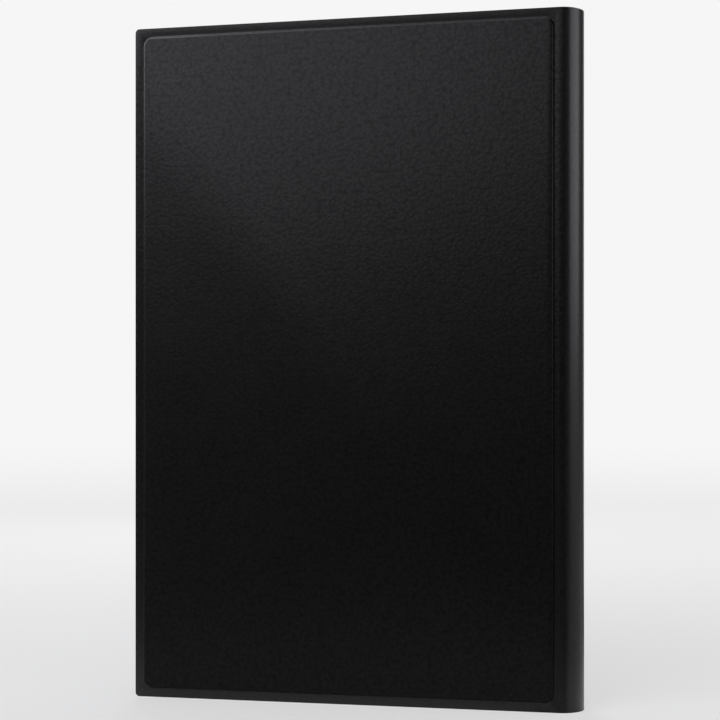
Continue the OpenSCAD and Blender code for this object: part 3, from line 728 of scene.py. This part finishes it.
def cap(bm, low, high):
    """One cap: rounded in plan, eased round its top and pressed in slightly in the middle."""
    made = block(bm, low, high)
    upright = {e for v in made for e in v.link_edges if abs(e.verts[0].co.y - e.verts[1].co.y) > CAP_EDGE}
    made = bmesh.ops.bevel(bm, geom=list(upright), offset=CAP_CORNER, segments=CAP_CORNER_STEPS,
                           profile=0.5, affect="EDGES", material=-1)
    top = max((f for v in made["verts"] for f in v.link_faces), key=lambda f: f.calc_center_median().y)
    bmesh.ops.inset_region(bm, faces=[top], thickness=DISH_RIM, depth=-DISH, use_even_offset=True)
    rim = {e for v in made["verts"] for e in v.link_edges
           if all(abs(w.co.y - high.y) < SEAM for w in e.verts)}
    rim = [e for e in rim if len(e.link_faces) == 2 and e.calc_face_angle(0) > CAP_EDGE_TURN]
    bmesh.ops.bevel(bm, geom=rim, offset=CAP_EDGE, segments=CAP_EDGE_STEPS, profile=0.5, affect="EDGES",
                    material=-1)


def lettering(mark, legend, size):
    """Fills mark with a legend in outline letters, as thick as the ink."""
    letters = bpy.data.curves.new("legend", "FONT")
    letters.body, letters.size, letters.extrude = legend, size, INK / 2
    letters.align_x, letters.align_y, letters.resolution_u = "CENTER", "CENTER", INK_CURVE_STEPS
    holder = bpy.data.objects.new("legend", letters)
    outline = bpy.data.meshes.new_from_object(holder)
    mark.from_mesh(outline)
    bmesh.ops.remove_doubles(mark, verts=mark.verts[:], dist=INK_SPOT)
    bpy.data.objects.remove(holder)
    bpy.data.curves.remove(letters)
    bpy.data.meshes.remove(outline)


def arrowhead(mark, turn, size):
    """Fills mark with a small solid triangle that points along the turn in degrees."""
    bmesh.ops.create_circle(mark, cap_ends=True, segments=3, radius=ARROW_SHARE * size)
    made = bmesh.ops.extrude_face_region(mark, geom=mark.faces[:])
    bmesh.ops.translate(mark, verts=verts_of(made["geom"]), vec=(0, 0, INK))
    bmesh.ops.rotate(mark, verts=mark.verts[:], matrix=Matrix.Rotation(math.radians(turn - 90), 3, "Z"))


def print_legend(prints, legend, size, middle, across):
    """Adds one legend as a thin print, centred on middle and moved across the row."""
    mark = bmesh.new()
    if legend in ARROW_TURN:
        arrowhead(mark, ARROW_TURN[legend], size)
    else:
        lettering(mark, legend, size)
    bmesh.ops.recalc_face_normals(mark, faces=mark.faces[:])
    bmesh.ops.transform(mark, verts=mark.verts[:],
                        matrix=Matrix.Translation(middle) @ ON_KEY @ Matrix.Translation((0, across, 0)))
    placed = bpy.data.meshes.new("legend")
    mark.to_mesh(placed)
    mark.free()
    prints.from_mesh(placed)
    bpy.data.meshes.remove(placed)


cap_plastic = moulded_plastic("cap_plastic", grey(0.014), grey(0.022), rough=0.36, grain=0.22)
legend_ink = speckled("legend_ink", grey(0.62), grey(0.78), scale=3000, rough=0.45, rough_range=0.15)
for node, legends in KEY_LEGENDS.items():
    body = node + "_cap"
    caps, prints = bmesh.new(), bmesh.new()
    for legend, (low, high) in zip(legends, key_spots(node)):
        cap(caps, low, high)
        middle = (low + high) / 2
        middle.y = high.y - DISH + INK / 2
        if legend in ("F", "J"):
            centre = Vector((low.x + HOME_BAR_IN, middle.y, middle.z))
            block(caps, centre - HOME_BAR / 2, centre + HOME_BAR / 2)
        if " " in legend and legend != "caps lock":
            for sign, across in zip(legend.split(" "), SIGN_PLACES):
                print_legend(prints, sign, SIGN_HEIGHT, middle, across)
        elif legend:
            large = len(legend) == 1 or legend in ARROW_TURN
            print_legend(prints, legend, INK_HEIGHT if large else WORD_HEIGHT, middle, 0)
    piece = make_piece(node + "_top", caps, cap_plastic)
    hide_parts(node)
    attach(piece, body)
    if len(prints.verts):
        piece = make_piece(node + "_print", prints, legend_ink)
        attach(piece, body)
    else:
        prints.free()

# Studio: a pale floor and backdrop, three soft lamps in front that grade the panel, one beside the spine
# and one behind, and two cards that only show in a gloss. The camera is low, a little to the spine's side.
AZIMUTH, DISTANCE, HEIGHT = math.radians(13.3), 0.650, 0.1097
PIXELS, FOCAL, SHIFT_X, SHIFT_Y = 720, 1728.0, 2.9, 48.8
SENSOR = 36
LAMP_AIM, LAMP_DISTANCE = Vector((0, 0, 0.13)), 1.1
DAYLIGHT = (0.98, 0.98, 1.05)
AMBIENT, BACKDROP, CAMERA_SIDE, PALE_FROM = 0.46, 0.92, 0.09, 0.87
FLOOR_R, FLOOR_SIDES, FLOOR_TONE = 6, 96, grey(0.82)
# The floor turns into the backdrop from a near to a far distance. A gloss shows that change by metres, and
# less of it beside the line to the camera. The camera itself sees it by powers of two metres.
GLOSS_NEAR, GLOSS_FAR, SEEN_NEAR, SEEN_FAR, SEEN_LEAST = 0.03, 0.25, -2.7, 2.4, 0.5
PHOTO_SIDE, BESIDE, AHEAD, BESIDE_LEAST = (0.17, -0.98, 0), 0.45, 0.75, 0.6

camera = bpy.data.objects.new("camera", bpy.data.cameras.new("camera"))
bpy.context.scene.collection.objects.link(camera)
camera.location = (math.sin(AZIMUTH) * DISTANCE, -math.cos(AZIMUTH) * DISTANCE, HEIGHT)
camera.rotation_euler = (math.pi / 2, 0, AZIMUTH)
camera.data.sensor_width = SENSOR
camera.data.lens = FOCAL / PIXELS * SENSOR
camera.data.shift_x, camera.data.shift_y = SHIFT_X / PIXELS, SHIFT_Y / PIXELS
bpy.context.scene.camera = camera
bpy.context.scene.view_settings.view_transform = "Standard"


def soft_lamp(name, azimuth, elevation, size, watts, card=False):
    """A flat soft lamp at an angle round the case from its front and an angle up, in degrees.

    A card only shows in what is glossy, and lights nothing else.
    """
    round_case, up = math.radians(azimuth), math.radians(elevation)
    toward = Vector((math.sin(round_case) * math.cos(up), -math.cos(round_case) * math.cos(up),
                     math.sin(up)))
    lamp = bpy.data.objects.new(name, bpy.data.lights.new(name, "AREA"))
    bpy.context.scene.collection.objects.link(lamp)
    lamp.location = LAMP_AIM + LAMP_DISTANCE * toward
    lamp.rotation_mode = "QUATERNION"
    lamp.rotation_quaternion = (-toward).to_track_quat("-Z", "Y")
    lamp.data.shape = "RECTANGLE"
    lamp.data.size, lamp.data.size_y = size
    lamp.data.energy, lamp.data.color = watts, DAYLIGHT
    lamp.visible_diffuse = not card


soft_lamp("key_lamp", -22, 24, (0.5, 0.5), 1.64)
soft_lamp("fore_edge_lamp", -40, 30, (0.5, 0.5), 1.48)
soft_lamp("fill_lamp", 0, 30, (0.5, 0.5), 1.0)
soft_lamp("spine_lamp", 86, 14, (1.1, 0.4), 2.1)
soft_lamp("back_lamp", 200, 28, (0.5, 0.5), 3.0)
soft_lamp("fore_edge_card", -75, 42, (1.2, 1.2), 24, card=True)
soft_lamp("upper_card", -15, 80, (1.2, 1.0), 6.8, card=True)


def smooth_range(maker, value, low, high, at_low=0, at_high=1):
    """Goes smoothly from at_low, where the value is low, to at_high, where it is high."""
    return maker.node("MapRange", {"interpolation_type": "SMOOTHSTEP"},
                      {"Value": value, "From Min": low, "From Max": high,
                       "To Min": at_low, "To Max": at_high})


def ray(maker, kind):
    """1 for a ray of one kind, such as Camera or Glossy, and 0 for others."""
    return maker.node("LightPath", output=f"Is {kind} Ray")


def backdrop_level(maker, direction, lit):
    """Pale to the camera and through glass, and lit for the light on the object.

    A gloss shows it pale behind the case, and dimmer where the camera stands.
    """
    depth = maker.node("SeparateXYZ", {}, {0: direction}, "Y")
    mirrored = smooth_range(maker, depth, PALE_FROM, 1, CAMERA_SIDE, BACKDROP)
    for kind, level in (("Glossy", mirrored), ("Camera", BACKDROP), ("Transmission", BACKDROP)):
        lit = maker.node("MapRange", {}, {"Value": ray(maker, kind), "To Min": lit, "To Max": level})
    return lit


studio_world = bpy.data.worlds.new("studio")
bpy.context.scene.world = studio_world
studio_world.use_nodes = True
studio_world.node_tree.nodes.clear()
maker = Socket(studio_world.node_tree)
level = backdrop_level(maker, maker.node("TexCoord", output="Generated"), AMBIENT)
glow = maker.node("Background", {}, {"Color": grey(1), "Strength": level})
maker.node("OutputWorld", {}, {"Surface": glow})

bm = bmesh.new()
bmesh.ops.create_circle(bm, cap_ends=True, segments=FLOOR_SIDES, radius=FLOOR_R)
mesh = bpy.data.meshes.new("floor")
bm.to_mesh(mesh)
bm.free()
floor = bpy.data.objects.new("floor", mesh)
bpy.context.scene.collection.objects.link(floor)
floor_paint, maker, place = start_material("pale_floor")
away = maker.node("VectorMath", {"operation": "LENGTH"}, {0: place}, "Value")
outward = maker.node("VectorMath", {"operation": "NORMALIZE"}, {0: place})
ahead = maker.node("VectorMath", {"operation": "DOT_PRODUCT"}, {0: outward, 1: PHOTO_SIDE}, "Value")
along = smooth_range(maker, maker.math("ABSOLUTE", ahead), BESIDE, AHEAD, at_low=BESIDE_LEAST)
mirrored = smooth_range(maker, away, GLOSS_NEAR, GLOSS_FAR) * along * ray(maker, "Glossy")
power = maker.math("LOGARITHM", away, 2)
seen = smooth_range(maker, power, SEEN_NEAR, SEEN_FAR, at_low=SEEN_LEAST) * ray(maker, "Camera")
matt = maker.node("BsdfDiffuse", {}, {"Color": FLOOR_TONE})
glow = maker.node("Emission", {}, {"Color": grey(1), "Strength": backdrop_level(maker, outward, 0)})
mixed = maker.node("MixShader", {}, {0: mirrored + seen, 1: matt, 2: glow})
maker.node("OutputMaterial", {}, {"Surface": mixed})
mesh.materials.append(floor_paint)
